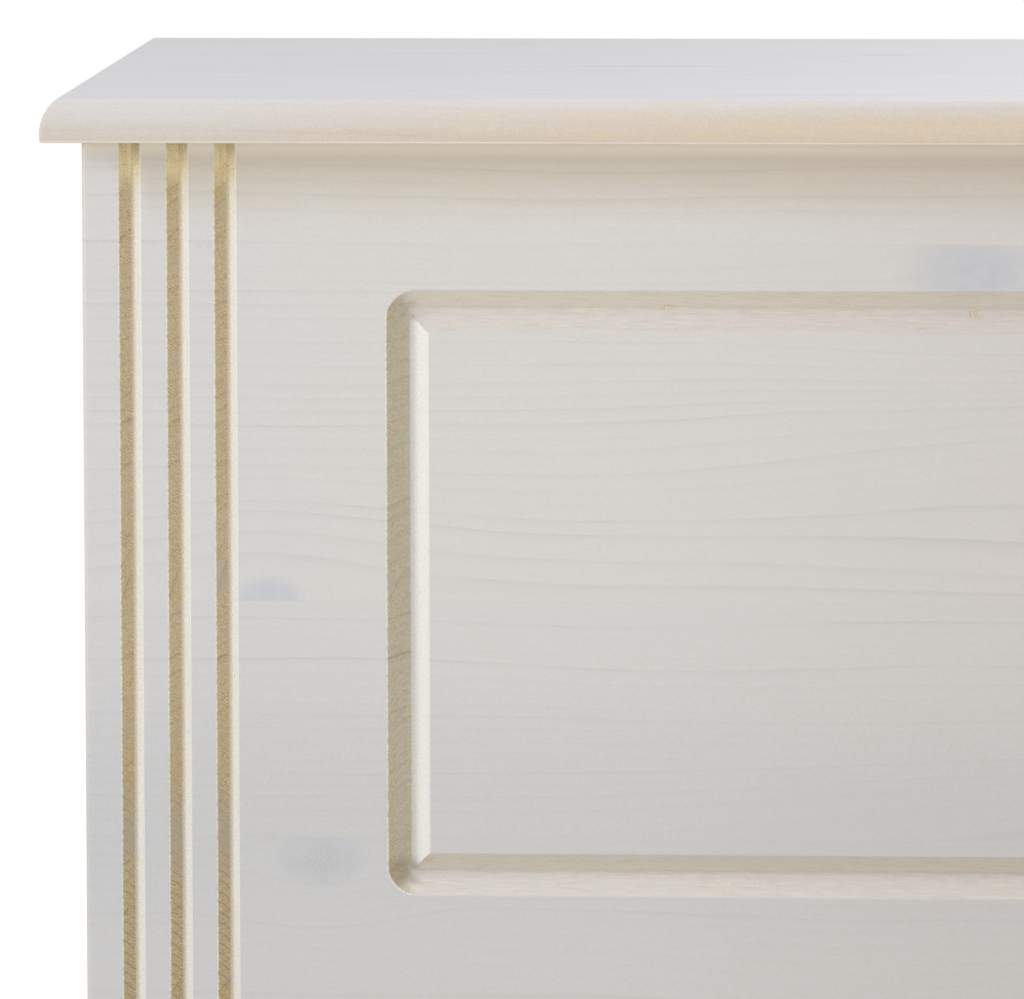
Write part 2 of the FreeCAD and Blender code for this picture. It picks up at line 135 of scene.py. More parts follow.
class Signal:
    """A number that varies over a surface, with ordinary arithmetic that builds the nodes for it."""

    def __init__(self, graph, socket):
        self.graph = graph
        self.socket = socket

    def math(self, operation, *others):
        return self.graph.math(operation, self, *others)

    def __add__(self, other):
        return self.math("ADD", other)

    __radd__ = __add__

    def __sub__(self, other):
        return self.math("SUBTRACT", other)

    def __rsub__(self, other):
        return self.graph.math("SUBTRACT", other, self)

    def __mul__(self, other):
        return self.math("MULTIPLY", other)

    __rmul__ = __mul__

    def __truediv__(self, other):
        return self.math("DIVIDE", other)

    def __abs__(self):
        return self.math("ABSOLUTE")


Axes = namedtuple("Axes", "X Y Z")


class Graph:
    """The nodes of one material or world."""

    def __init__(self, tree):
        self.tree = tree
        tree.nodes.clear()

    def feed(self, socket, value):
        if isinstance(value, Signal):
            self.tree.links.new(value.socket, socket)
        else:
            socket.default_value = value

    def add(self, kind, inputs=(), **settings):
        node = self.tree.nodes.new(kind)
        for key, value in settings.items():
            setattr(node, key, value)
        for key, value in dict(inputs).items():
            self.feed(node.inputs[key], value)
        return node

    def out(self, node, key=0):
        return Signal(self, node.outputs[key])

    def math(self, operation, *values):
        return self.out(self.add("ShaderNodeMath", enumerate(values), operation=operation))

    def most(self, a, b):
        return self.math("MAXIMUM", a, b)

    def step(self, value, low, high):
        """A soft step from 0 at low to 1 at high, or the other way round where low is above high."""
        limits = {0: value, 1: min(low, high), 2: max(low, high)}
        made = self.out(self.add("ShaderNodeMapRange", limits, interpolation_type="SMOOTHSTEP"))
        return made if low < high else 1.0 - made

    def above(self, value, limit):
        return self.math("GREATER_THAN", value, limit)

    def bump_at(self, value, middle, half_width):
        """1 at middle, falling softly to 0 at half_width from it."""
        return self.step(abs(value - middle), half_width, 0.0)

    def stairs(self, value, limits, levels):
        """The level of the interval between limits that value is in."""
        total = levels[0]
        for limit, low, high in zip(limits, levels, levels[1:]):
            total = self.above(value, limit) * (high - low) + total
        return total

    def noise(self, x, y, z, detail=2.0, roughness=0.5, distortion=0.0):
        """Noise around 0, mostly from -0.5 to 0.5, with features about one unit apart."""
        point = self.out(self.add("ShaderNodeCombineXYZ", {0: x, 1: y, 2: z}))
        inputs = {"Vector": point, "Scale": 1.0, "Detail": detail, "Roughness": roughness}
        made = self.add("ShaderNodeTexNoise", {**inputs, "Distortion": distortion})
        return (self.out(made) - 0.5) * 2.6

    def chance(self, value):
        """A fixed random number from 0 to 1 for each value."""
        return self.out(self.add("ShaderNodeTexWhiteNoise", {"W": value}, noise_dimensions="1D"))

    def blend(self, share, a, b, way="MIX"):
        """Colour a towards colour b."""
        inputs = {"Factor": share, 6: a, 7: b}
        return self.out(self.add("ShaderNodeMix", inputs, data_type="RGBA", blend_type=way), 2)

    def length(self, a, b):
        """The length of a line whose two parts are a and b."""
        return self.math("SQRT", self.math("POWER", a, 2.0) + self.math("POWER", b, 2.0))

    def looked_at(self):
        """1 for what is seen, also in a mirror or through glass, and 0 for what lights other surfaces."""
        path = self.add("ShaderNodeLightPath")
        indirect = self.most(self.out(path, "Is Glossy Ray"), self.out(path, "Is Transmission Ray"))
        return self.most(self.out(path, "Is Camera Ray"), indirect)

    def place(self):
        """The three coordinates of the surface point at rest, in millimetres."""
        coordinates = self.add("ShaderNodeTexCoord")
        parts = self.add("ShaderNodeSeparateXYZ", {0: self.out(coordinates, "Object")})
        return Axes(*(self.out(parts, axis) * (1 / mm) for axis in "XYZ"))

    def facing(self):
        """The three parts of the surface's direction at rest."""
        coordinates = self.add("ShaderNodeTexCoord")
        parts = self.add("ShaderNodeSeparateXYZ", {0: self.out(coordinates, "Normal")})
        return Axes(*(self.out(parts, axis) for axis in "XYZ"))

    def surface(self, height=None, **inputs):
        """The shader, with an optional height in millimetres."""
        shader = self.add("ShaderNodeBsdfPrincipled", inputs)
        if height is not None:
            relief = self.add("ShaderNodeBump", {"Height": height, "Distance": mm})
            self.feed(shader.inputs["Normal"], self.out(relief))
        output = self.add("ShaderNodeOutputMaterial")
        self.tree.links.new(shader.outputs[0], output.inputs["Surface"])
        return shader


class Coat:
    """A colour that is built up in layers."""

    def __init__(self, graph, colour):
        self.graph, self.colour = graph, colour

    def lay(self, share, colour):
        """Goes towards another colour, as far as share says."""
        self.colour = self.graph.blend(share, self.colour, colour)

    def tint(self, share, red, green, blue):
        """Multiplies the colour by three factors, as far as share says."""
        self.colour = self.graph.blend(share, self.colour, (red, green, blue, 1.0), "MULTIPLY")


def material(name):
    made = bpy.data.materials.new(name)
    made.use_nodes = True
    return made, Graph(made.node_tree)


# A stave's upper edge, where the log's pith lies, the distance between rings, and how grey it is
Stave = namedtuple("Stave", "top pith_across pith_behind spacing tone")
# A knot's place and half size, how far it bends the rings, its strength, and its solid core and rim
Knot = namedtuple("Knot", "along across half_length half_height bend depth_of_colour solid rim",
                  defaults=(0.85, 0.25))
# A place where the rings rise by lift, and a spot that the cutter tore
Swerve = namedtuple("Swerve", "along reach_along across reach_across lift")
Tear = namedtuple("Tear", "along across reach")
Wood = namedtuple("Wood", "axes staves knots swerves glaze bare_share seed")
Layers = namedtuple("Layers", "along across through at facing end_grain figure streak fibre pore tone knot")


def even_staves(low, high, width, seed):
    """Staves of one width from low to high, in millimetres, each cut from another place in the log."""
    draw = random.Random(seed)
    count = max(1, round((high - low) / width))
    pitch = (high - low) / count
    made = []
    for i in range(count):
        bottom = low + i * pitch
        across = bottom + draw.choice((-0.35, 1.35)) * pitch + draw.uniform(-12, 12)
        behind, spacing, tone = draw.uniform(38, 75), draw.uniform(3.2, 4.4), draw.uniform(0, 0.6)
        made.append(Stave(bottom + pitch, across, behind, spacing, tone))
    return made


def knots_in(staves, length, count, seed):
    """Small pale knots strewn over a board."""
    draw = random.Random(seed)
    low = staves[0].top - (staves[1].top - staves[0].top if len(staves) > 1 else 60)
    made = []
    for _ in range(count):
        along = draw.uniform(-0.45, 0.45) * length
        across = draw.uniform(low + 12, staves[-1].top - 12)
        size = draw.uniform(4, 13)
        half_length, depth_of_colour = size * draw.uniform(1.2, 1.7), draw.uniform(0.4, 0.9)
        made.append(Knot(along, across, half_length, size, size * 0.9, depth_of_colour))
    return made


def wood_layers(g, wood):
    """The wood before its finish: year rings bent by knots, streaks, fibres and pores, each as a share."""
    at, facing = g.place(), g.facing()
    along, across, through = (getattr(at, axis) for axis in wood.axes)
    end_grain = abs(getattr(facing, wood.axes[0]))
    drift = g.noise(along / 260, across / 90, through / 90 + wood.seed, detail=1.0)
    ripple = g.noise(along / 42, across / 16, through / 30 + wood.seed * 2)
    tremble = g.noise(along / 9, across / 3.0, through / 8 + wood.seed)
    bent = across + drift * 5.0 + ripple * 0.55 + tremble * 0.16
    limits = [stave.top for stave in wood.staves[:-1]]

    def own_stave(place):
        """1 in the stave that a place lies in, 0 in the others."""
        below = [limit for limit in limits if limit <= place]
        above = [limit for limit in limits if limit > place]
        share = g.above(across, below[-1]) if below else 1.0
        return g.above(above[0], across) * share if above else share

    for swerve in wood.swerves:
        near = g.bump_at(along, swerve.along, swerve.reach_along)
        near = near * g.bump_at(across, swerve.across, swerve.reach_across)
        bent = bent - near * own_stave(swerve.across) * swerve.lift
    knot_mask = 0.0
    mottle = g.noise(along / 7.0, across / 5.0, through / 6.0 + 2.0, detail=3.0, roughness=0.6)
    for knot in wood.knots:
        dx, dz = along - knot.along, across - knot.across
        near = g.step(abs(dx), knot.half_length * 3.2, 0.0) * g.step(abs(dz), knot.half_height * 4.5, 0.0)
        side = dz / (abs(dz) + knot.half_height * 0.45)
        bent = bent - side * near * own_stave(knot.across) * knot.bend
        from_knot = g.length(abs(dx) / knot.half_length, abs(dz) / knot.half_height)
        inside = g.step(from_knot + ripple * 0.06 + mottle * 0.05, 1.06, knot.solid) * own_stave(knot.across)
        rim = g.bump_at(from_knot, 0.85, 0.40)
        knot_mask = g.most(knot_mask, inside * (mottle * 0.40 + rim * knot.rim + 0.60) * knot.depth_of_colour)
    levels = list(zip(*wood.staves))[1:] + [range(len(wood.staves))]
    pith_across, pith_behind, spacing, tone, number = (g.stairs(across, limits, each) for each in levels)
    radius = g.length(abs(bent - pith_across), abs(through - pith_behind))
    uneven = g.noise(radius / 14, number * 3.7 + wood.seed, 0.5, detail=1.0) * 0.55
    ring = radius / spacing + uneven
    share = g.math("FRACT", ring)
    strength = g.math("POWER", g.chance(g.math("FLOOR", ring) + number * 31.0 + wood.seed), 1.6) * 1.05 + 0.18
    late = g.step(share, 0.30, 0.92) * g.step(share, 1.0, 0.93)
    line = g.step(share, 0.74, 0.93) * g.step(share, 1.0, 0.95)
    fade = g.noise(along / 75, across / 7, through / 9) * 0.75 + 0.80
    figure = (late * 0.40 + line * 0.60) * strength * g.most(fade, 0.1) * (1.0 - knot_mask * 0.8)
    streak = g.noise(along / 34, across / 0.55, through / 0.8, detail=3.0, roughness=0.6)
    fibre = g.noise(along / 3.2, across / 0.28, through / 0.5)
    pore = g.noise(along / 1.7, across / 0.8, through / 0.8, roughness=0.6)
    return Layers(along, across, through, at, facing, end_grain, figure, streak, fibre, pore, tone, knot_mask)


def pine(name, wood, finishing=None):
    """Pine under a thin white glaze. finishing may add what only one board has."""
    made, g = material(name)
    w = wood_layers(g, wood)
    patch = g.noise(w.along / 95, w.across / 34, w.through / 40 + wood.seed)
    blush = g.noise(w.along / 48, w.across / 21, w.through / 25 + wood.seed + 9.0)
    cool, warm = shade(wood.glaze, 0.988, 0.992, 1.004), shade(wood.glaze, 1.012, 1.006, 0.998)
    coat = Coat(g, g.blend(g.step(patch, -0.9, 0.9), cool, warm))
    layers = [
        (g.step(blush, 0.15, 0.85) * 0.6, (1.000, 0.978, 0.978)),
        (w.tone, (0.930, 0.955, 0.990)),
        (w.figure * 0.90, (0.865, 0.860, 0.870)),
        (g.step(w.streak, -0.6, 1.0) * 0.45, (0.950, 0.946, 0.940)),
        (g.step(w.pore, -0.25, 0.50) * 0.80, (0.940, 0.935, 0.925)),
        (w.knot, (0.760, 0.825, 0.940)),
    ]
    layers += [(g.bump_at(w.across, stave.top, 0.35) * 0.35, (0.900, 0.890, 0.880))
               for stave in wood.staves[:-1]]
    for share, factors in layers:
        coat.lay(share, shade(wood.glaze, *factors))
    bare = g.blend(w.figure * 0.9, bare_pine, shade(bare_pine, 0.86, 0.80, 0.70))
    bare_share = g.step(w.end_grain, 0.25, 0.95) * 0.35 + wood.bare_share
    coat.lay(bare_share + w.fibre * 0.03, bare)
    rough = w.streak * 0.04 + w.figure * 0.05 + 0.50
    height = w.fibre * 0.010 + w.streak * 0.012 - w.figure * 0.014
    if finishing:
        height, rough = finishing(g, w, coat, height, rough)
    shader = g.surface(height, **{"Base Color": coat.colour, "Roughness": rough})
    shader.inputs["Specular IOR Level"].default_value = glaze_specular
    return made


def shade(colour, red, green, blue):
    """A colour times three factors."""
    return (colour[0] * red, colour[1] * green, colour[2] * blue, 1.0)


# Colours of the finish, and of the painted highlight at the rims
front_glaze = srgb(219, 216.5, 212.5)
# The lid's glaze is bluer than the front's, partly its own colour and partly a painted cool reflection of the
# sky at the lid's grazing view
lid_glaze = srgb(228, 225.5, 228.5)
plain_glaze = srgb(222, 218, 212)
bare_pine = srgb(221, 199, 160)
cream = srgb(246, 236, 214)
rim_highlight = srgb(250, 244, 232)
glaze_specular = 0.32

# In millimetres: how far from the front's middle the flutes begin, and how wide the strip at its ends is
flute_zone = 310.0
end_band = 3.0

# The front's staves and knots; the staves grow greyer towards the bottom, partly their own tone and partly
# painted shade where the light falls off towards the floor
front_staves = [
    Stave(89.3, -24.0, -128.0, 4.4, 0.75),
    Stave(189.1, 66.0, -136.0, 4.4, 0.60),
    Stave(339.3, 172.0, -138.0, 5.2, 0.12),
    Stave(400.0, 290.0, -128.0, 4.4, 0.0),
]
front_knots = [
    Knot(-331.0, 338.4, 1.8, 1.3, 1.0, 0.8, 0.2, 0.5),
    Knot(-334.6, 338.5, 2.4, 1.5, 0.8, 0.5, 0.2, 0.5),
    Knot(-306.2, 189.2, 16.0, 12.0, 4.0, 1.05, 0.55, -0.10),
    Knot(-285.0, 80.6, 20.0, 13.5, 16.0, 0.38, 0.60, 0.55),
    Knot(-10.0, 328.0, 36.0, 24.0, 8.0, 1.05, 0.25, 0.0),
    Knot(100.0, 232.0, 12.0, 8.0, 9.0, 0.6),
    Knot(306.0, 120.0, 9.0, 6.0, 7.0, 0.5),
    Knot(205.0, 36.0, 15.0, 8.0, 9.0, 0.5),
]
front_swerves = [
    Swerve(100.0, 290.0, 256.0, 40.0, 22.0),
    Swerve(100.0, 290.0, 204.0, 26.0, -9.0),
    Swerve(-306.0, 140.0, 216.0, 52.0, 9.0),
    Swerve(110.0, 300.0, 96.0, 52.0, 28.0),
    Swerve(40.0, 210.0, 330.0, 22.0, 8.0),
]
front_tears = [
    Tear(-10.9, 309.7, 5.5),
    Tear(-139.2, 312.6, 4.5),
    Tear(-108.3, 310.6, 2.2),
    Tear(-248.4, 66.2, 4.5),
    Tear(-239.5, 80.2, 3.5),
]


def front_finish(g, w, coat, height, rough):
    """The routed cuts, with yellow end grain and painted shade on the walls that face right and painted light
    on the walls that face left and at the rims, then the front's tones, painted fall-off and the lid's
    painted shadow.
    """
    along, across, facing_right, facing_up = w.along, w.across, w.facing.X, w.facing.Z
    depth = w.through - panel_low.y / mm
    below_lid = panel_high.z / mm - across
    on_front = g.above(panel_high.x / mm - end_band, abs(along)) * g.above(groove_depth / mm + 0.5, depth)
    in_flute = g.above(abs(along), flute_zone)
    in_groove = 1.0 - in_flute
    how_deep = depth / (in_flute * (flute_depth - groove_depth) / mm + groove_depth / mm)
    from_upright = abs(abs(along) - groove_x / mm)
    up_down = abs(across - panel_middle / mm)
    from_level = abs(up_down - groove_z / mm)
    upright_run = g.most(in_flute, g.step(from_level - from_upright, -3.5, 4.5))
    cut = g.step(depth, 0.08, 0.40) * on_front
    to_right, to_left = g.step(facing_right, 0.12, 0.50), g.step(facing_right, -0.12, -0.50)
    # The tip of each cut counts with the right-facing walls, so that it takes their painted shade, the shadow
    # of the rim
    right_wall = g.most(cut * to_right, g.step(how_deep, 0.40, 0.78) * upright_run * on_front)
    left_wall = cut * to_left
    level_wall = cut * (1.0 - to_right) * (1.0 - to_left)

    rasp = g.noise(along / 1.6, across / 1.1, depth / 1.2, detail=3.0, roughness=0.65)
    grit = g.noise(along / 0.9, across / 0.7, depth / 0.9 + 40.0, roughness=0.7)
    blotch = g.noise(along / 30.0, across / 11.0, 3.0)
    strand = g.noise(along / 9.0, across / 0.8, depth / 0.9, detail=3.0, roughness=0.6)
    torn = g.step(g.noise(along / 14.0, across / 6.0, depth / 3.0 + 8.0), -0.20, 0.25)
    glazed = g.noise(along / 25.0, (across - depth * 0.7) / 5.0, 6.0)
    glazed = g.step(glazed, -0.05, 0.25)
    chatter = g.math("SINE", (across + depth * 0.9 + rasp * 1.1) * 4.3)

    # Walls that run level: a warm painted shade on those that face down, a pinker tone on those that face up,
    # painted shade at the bottom of the cut, and torn fibres
    coat.lay(level_wall * g.step(facing_up, -0.15, -0.45) * 0.55, srgb(232, 219, 197))
    coat.lay(level_wall * g.step(facing_up, 0.15, 0.45) * 0.62, srgb(219, 212, 208))
    coat.lay(level_wall * g.step(how_deep, 0.75, 0.97) * 0.50, srgb(204, 197, 189))
    coat.lay(level_wall * g.step(strand, 0.0, 0.45) * 0.30, srgb(240, 226, 206))
    coat.lay(level_wall * g.step(strand, 0.0, -0.45) * 0.24, srgb(194, 180, 160))
    coat.lay(level_wall * g.step(grit, 0.10, 0.45) * torn * 0.40, srgb(236, 220, 182))
    coat.lay(level_wall * g.step(grit, -0.15, -0.50) * torn * 0.35, srgb(184, 168, 144))

    # Walls that face right, and the tip of each cut: yellow end grain with painted shade, as under a light
    # from the left whose shadow falls from the rim across the tip; darker low down in the flutes
    # Near the lid the flutes turn yellow, partly thinner glaze and partly painted warm shade of the lid,
    # which also takes the walls' painted light and shade away
    thin_glaze_and_lid_shade = g.step(below_lid + rasp * 2.0, 22.0, 9.0) * cut * in_flute
    groove_end_grain_and_shade = g.blend(g.step(rasp, -0.45, 0.45), srgb(184, 174, 150), srgb(202, 192, 172))
    flute_end_grain_and_shade = g.blend(g.step(rasp, -0.45, 0.45), srgb(190, 171, 134), srgb(212, 195, 159))
    warm = Coat(g, g.blend(in_flute, groove_end_grain_and_shade, flute_end_grain_and_shade))
    warm.lay(w.figure * (in_flute * 0.35 + 0.55), srgb(164, 146, 112))
    warm.lay(glazed * (g.step(how_deep, 0.10, 0.70) * 0.40 + 0.20), srgb(196, 185, 164))
    arc = g.math("SINE", (across + depth * depth * 0.22 + blotch * 1.5) * 1.45)
    warm.lay(g.step(arc, 0.65, 1.0) * g.step(across, 120.0, 100.0) * in_flute * 0.70, srgb(156, 140, 112))
    arch = g.math("SINE", (across + g.math("POWER", abs(depth - 6.2), 2.0) * 0.30 + blotch * 2.5) * 1.7)
    arched = g.step(across, 172.0, 150.0) * g.step(across, 96.0, 112.0) * in_groove
    warm.lay(arched * g.step(arch, 0.55, 1.0) * 0.34, srgb(214, 204, 182))
    last_flute = g.above(along, -332.0)
    calm = g.most(g.bump_at(across, 90.0, 24.0), g.bump_at(across, 198.0, 11.0) * last_flute) * in_flute
    warm.lay(calm * 0.65, srgb(188, 178, 166))
    coat.lay(right_wall * 0.92, warm.colour)
    coat.lay(thin_glaze_and_lid_shade * 0.85, srgb(246, 234, 200))
    coat.tint(thin_glaze_and_lid_shade, 0.955, 0.965, 0.930)
    coat.tint(right_wall * in_flute * g.step(across, 165.0, 115.0), 0.930, 0.920, 0.890)
    near_rim = g.most(in_flute, g.step(how_deep, 0.75, 0.25))
    ragged = g.most(right_wall * near_rim * (1.0 - calm * 0.7), thin_glaze_and_lid_shade)
    ragged = ragged * (torn * 0.65 + 0.35) * (in_flute * 0.30 + 0.70)
    coat.lay(ragged * g.step(grit, 0.0, 0.40) * 0.75, srgb(228, 203, 132))
    coat.lay(ragged * g.step(grit, 0.0, -0.40) * 0.60, srgb(158, 136, 98))
    coat.lay(ragged * g.step(chatter, 0.2, 1.0) * torn * 0.35, srgb(234, 214, 156))
    coat.lay(ragged * g.step(chatter, -0.2, -1.0) * torn * 0.35, srgb(164, 142, 102))

    # Walls that face left: painted light, whiter than the glaze, as under a light from the left, and painted
    # shade deep in the cut, where the rim's shadow falls
    coat.lay(left_wall * (1.0 - thin_glaze_and_lid_shade) * 0.75, srgb(239, 240, 237))
    deep_wall_shade = left_wall * g.step(how_deep, 0.45, 0.90)
    coat.lay(deep_wall_shade * in_flute * (g.step(rasp, -0.3, 0.3) * 0.40 + 0.10), srgb(238, 220, 178))
    coat.tint(deep_wall_shade * (1.0 - thin_glaze_and_lid_shade * 0.9) * 0.80, 0.84, 0.84, 0.84)
    creamy = left_wall * in_flute * (g.step(across, 40.0, 260.0) * 0.6 + 0.4)
    coat.tint(creamy, 0.945, 0.925, 0.895)
    coat.tint(creamy * g.step(below_lid, 38.0, 20.0), 0.940, 0.930, 0.860)
    fine = left_wall * (in_flute * 0.14 + 0.29)
    coat.lay(fine * g.step(grit, 0.05, 0.35), srgb(255, 250, 234))
    coat.lay(fine * g.step(grit, -0.05, -0.35), srgb(214, 203, 182))

    # The groove's corners, with painted shade along the mitre creases and in the corners, and what the cutter
    # tore
    inner = g.step(groove_z / mm - up_down, 0.5, 3.0) * in_groove * cut
    mitre = g.bump_at(from_level - from_upright, 0.0, 0.55)
    coat.lay(inner * mitre * 0.50, srgb(190, 170, 138))
    coat.lay(left_wall * in_groove * g.step(from_level, 6.0, 2.5) * 0.75, srgb(184, 176, 166))
    low_corner_shade = g.step(from_level, 9.0, 3.0) * g.above(panel_middle / mm, across) * in_groove
    coat.tint(right_wall * low_corner_shade, 0.80, 0.78, 0.74)
    spot = 0.0
    for tear in front_tears:
        away = g.length(abs(along - tear.along), abs(across - tear.across) * 1.6)
        spot = g.most(spot, g.step(away, tear.reach, tear.reach * 0.2))
    coat.lay(spot * cut * g.step(grit, 0.05, 0.30) * 0.75, srgb(246, 218, 140))
    coat.lay(spot * cut * g.step(grit, -0.05, -0.30) * 0.50, srgb(160, 136, 94))

    # Rims: painted highlights along the cut edges, broken up by frayed fibres on the edges that face right
    fray = g.step(g.noise(along / 3.0, across / 1.7, 12.0, detail=3.0, roughness=0.65), -0.30, 0.15)
    brink = g.step(depth, 0.004, 0.02) * g.step(depth, 0.16, 0.08) * on_front
    coat.lay(brink * g.step(facing_right, 0.02, 0.10) * (fray * 0.75 + 0.20), rim_highlight)
    coat.lay(brink * g.step(facing_right, -0.02, -0.10) * 0.80, rim_highlight)
    rim = g.step(depth, 0.06, 0.14) * g.step(depth, 0.60, 0.25) * on_front
    coat.lay(rim * g.step(facing_right, 0.05, 0.2) * fray * 0.60, cream)

    # Cooler to the left; darker and warmer to the right, a painted fall-off of the key light from the left;
    # greyer low down, partly the staves' tone and partly painted shade where the light falls off towards the
    # floor
    flat = 1.0 - cut
    coat.tint(g.step(along, -230.0, -400.0) * flat * 0.8, 0.985, 0.995, 1.026)
    coat.tint(g.step(along, -190.0, 0.0), 0.958, 0.940, 0.936)
    coat.tint(g.bump_at(across, 98.0, 75.0) * flat * 0.60, 0.900, 0.912, 0.932)
    low_down = g.step(across, 200.0, 140.0) * flat
    coat.tint(low_down * g.step(w.pore, 0.0, 0.45) * 0.55, 0.960, 0.955, 0.950)
    coat.tint(low_down * g.step(w.streak, 0.05, 0.50) * 0.50, 0.975, 0.968, 0.965)
    core = g.step(abs(along + 284.0) / 11.0 + abs(across - 80.0) / 9.0, 1.4, 0.4) * flat
    coat.tint(core * g.step(grit, -0.20, 0.20) * 0.8, 0.83, 0.86, 0.86)

    # Painted shadow of the lid's overhang, warm and blotchy, shorter at the far left end where the key light
    # reaches under the lid; then a painted light close under the lid, which lifts the shade there
    far_left = g.step(along, -352.0, -376.0)
    lid_shadow = g.step(below_lid * (far_left * 1.15 + 1.0) + blotch * 2.5, 38.0, 8.0)
    coat.tint(lid_shadow * (far_left * -0.40 + 0.61) * (flat * 0.75 + 0.25), 0.800, 0.690, 0.520)
    under_lid_light = g.step(below_lid, 7.2, 0.8) * (g.step(along, -110.0, 10.0) * -0.15 + 0.90)
    coat.lay(under_lid_light * flat, srgb(248, 238, 220))
    height = height + cut * (to_right + to_left) * (rasp * 0.07 + grit * 0.05) + spot * cut * grit * 0.15
    return height, rough + cut * 0.12


def lid_finish(g, w, coat, height, rough):
    """The lid's brushed top with a painted sheen to the right, its warmer rounded edges, where the glaze is
    thinner, a painted light on the lower arris, and its underside.
    """
    upward = w.facing.Z
    edge = g.step(upward, 0.96, 0.55) * g.step(upward, -0.9, -0.3)
    along, across = w.along, w.across
    flat = g.step(upward, 0.90, 0.99)
    brushed = g.noise(along / 60.0, across / 1.1, 5.0, detail=3.0, roughness=0.65)
    cloud = g.noise(along / 120.0, across / 26.0, 9.0)
    # Painted sheen: the top grows lighter towards the right end
    to_right = g.step(along, -250.0, 100.0)
    coat.lay(flat * to_right * 0.55, srgb(236, 234, 238))
    coat.lay(flat * g.step(brushed, 0.00, 0.45) * (to_right * 0.35 + 0.20), srgb(240, 239, 243))
    coat.lay(flat * g.step(brushed, -0.05, -0.50) * 0.22, srgb(212, 210, 213))
    coat.tint(flat * w.figure * 0.95, 0.900, 0.890, 0.895)
    coat.tint(flat * w.knot * 0.85, 0.800, 0.850, 0.940)
    coat.tint(flat * g.step(cloud, -0.1, 0.5) * 0.5, 0.975, 0.965, 0.955)
    swing = g.noise(along / 170.0, 0.3, 7.0, detail=1.0)
    grain = g.noise(along, w.at.Z / 0.65, across / 0.8, roughness=0.7)
    patches = g.noise(along / 26.0, w.at.Z / 4.0, 2.0)
    amber = g.step(along, -340.0, -60.0) * 0.45 + swing * 0.12
    height_up = w.at.Z - lid_low.z / mm
    coat.lay(edge * 0.85, srgb(217, 211, 207))
    coat.lay(edge * g.bump_at(height_up, 9.0, 8.0) * 0.30, srgb(206, 199, 192))
    coat.lay(edge * g.most(amber, 0.0) * g.step(height_up, 17.0, 9.0), srgb(217, 190, 154))
    coat.lay(edge * g.step(height_up, 12.0, 1.0) * 0.58, srgb(208, 188, 166))
    coat.lay(edge * g.step(patches, 0.0, 0.45) * g.most(amber, 0.0) * 0.8, srgb(224, 204, 164))
    coat.tint(edge * g.step(height_up, 12.5, 16.5) * g.step(along, -130.0, 20.0), 0.955, 0.935, 0.945)
    coat.tint(edge * g.bump_at(height_up, 12.5, 5.5) * g.step(along, -150.0, -20.0), 0.970, 0.962, 0.970)
    coat.tint(edge * g.step(along, -250.0, -380.0), 0.992, 1.012, 1.036)
    coat.lay(edge * g.step(grain, 0.0, 0.50) * 0.30, srgb(200, 186, 168))
    coat.lay(edge * g.step(grain, 0.0, -0.50) * 0.26, srgb(234, 227, 219))
    underside = g.step(upward, -0.85, -0.98)
    # Painted light on the lid's lower arris, which faces down into the shade under the lid
    arris_light = g.step(upward, -0.06, -0.35) * g.step(height_up, 2.0, 1.2) * (1.0 - underside)
    coat.lay(arris_light * (g.step(along, -100.0, 40.0) * -0.38 + 0.98), srgb(246, 235, 220))
    coat.tint(underside, 1.060, 0.985, 0.850)
    coat.tint(underside * w.figure, 0.900, 0.860, 0.800)
    coat.lay(w.figure * edge * 0.24, srgb(200, 180, 152))
    return height, rough


lid_knots = [
    Knot(-227.0, 157.0, 16.0, 3.2, 4.0, 0.8, 0.3, 0.0),
    Knot(-193.0, -162.0, 15.0, 3.0, 4.0, 0.8, 0.3, 0.0),
    Knot(-61.0, 86.0, 10.0, 6.0, 8.0, 0.5),
    Knot(140.0, 30.0, 14.0, 9.0, 9.0, 0.8),
    Knot(292.0, -96.0, 12.0, 7.0, 7.0, 0.8),
]
lid_swerves = [
    Swerve(-150.0, 330.0, 34.0, 44.0, 26.0),
    Swerve(230.0, 300.0, -52.0, 42.0, -24.0),
    Swerve(40.0, 260.0, 150.0, 40.0, 20.0),
    Swerve(-90.0, 280.0, -150.0, 40.0, 18.0),
]


def board_wood(node, axes, width, seed, glaze=plain_glaze, bare_share=0.04, knots=0):
    """The wood of one board, from its box: axes are the grain, the way across it, and the way through it."""
    low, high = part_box(node)
    along, across, through = ("XYZ".index(axis) for axis in axes)
    staves = [stave._replace(pith_behind=high[through] / mm + stave.pith_behind)
              for stave in even_staves(low[across] / mm, high[across] / mm, width, seed)]
    middle = (low[along] + high[along]) / 2 / mm
    found = [knot._replace(along=knot.along + middle)
             for knot in knots_in(staves, (high[along] - low[along]) / mm, knots, seed + 50)]
    return Wood(axes, staves, found, [], glaze, bare_share, float(seed))


def plywood():
    """Birch plywood for the floor of the chest: rotary-cut figure and thin layers at its edges."""
    made, g = material("birch plywood")
    at, facing = g.place(), g.facing()
    wave = g.noise(at.X / 130, at.Y / 26, 4.0, detail=3.0, distortion=0.6)
    rings = g.math("SINE", wave * 26.0 + at.Y / 17.0) * 0.5 + 0.5
    fleck = g.noise(at.X / 3.5, at.Y / 0.4, 1.0)
    face = g.blend(rings * 0.5, srgb(224, 203, 168), srgb(212, 187, 148))
    face = g.blend(g.step(fleck, 0.2, 0.9) * 0.30, face, srgb(190, 160, 120))
    layer = g.above(g.math("SINE", at.Z * 3.93), 0.0)
    edge = g.blend(layer, srgb(196, 164, 122), srgb(222, 198, 158))
    flat = g.step(abs(facing.Z), 0.4, 0.7)
    g.surface(fleck * 0.01, **{"Base Color": g.blend(flat, edge, face), "Roughness": 0.55 + wave * 0.04})
    return made


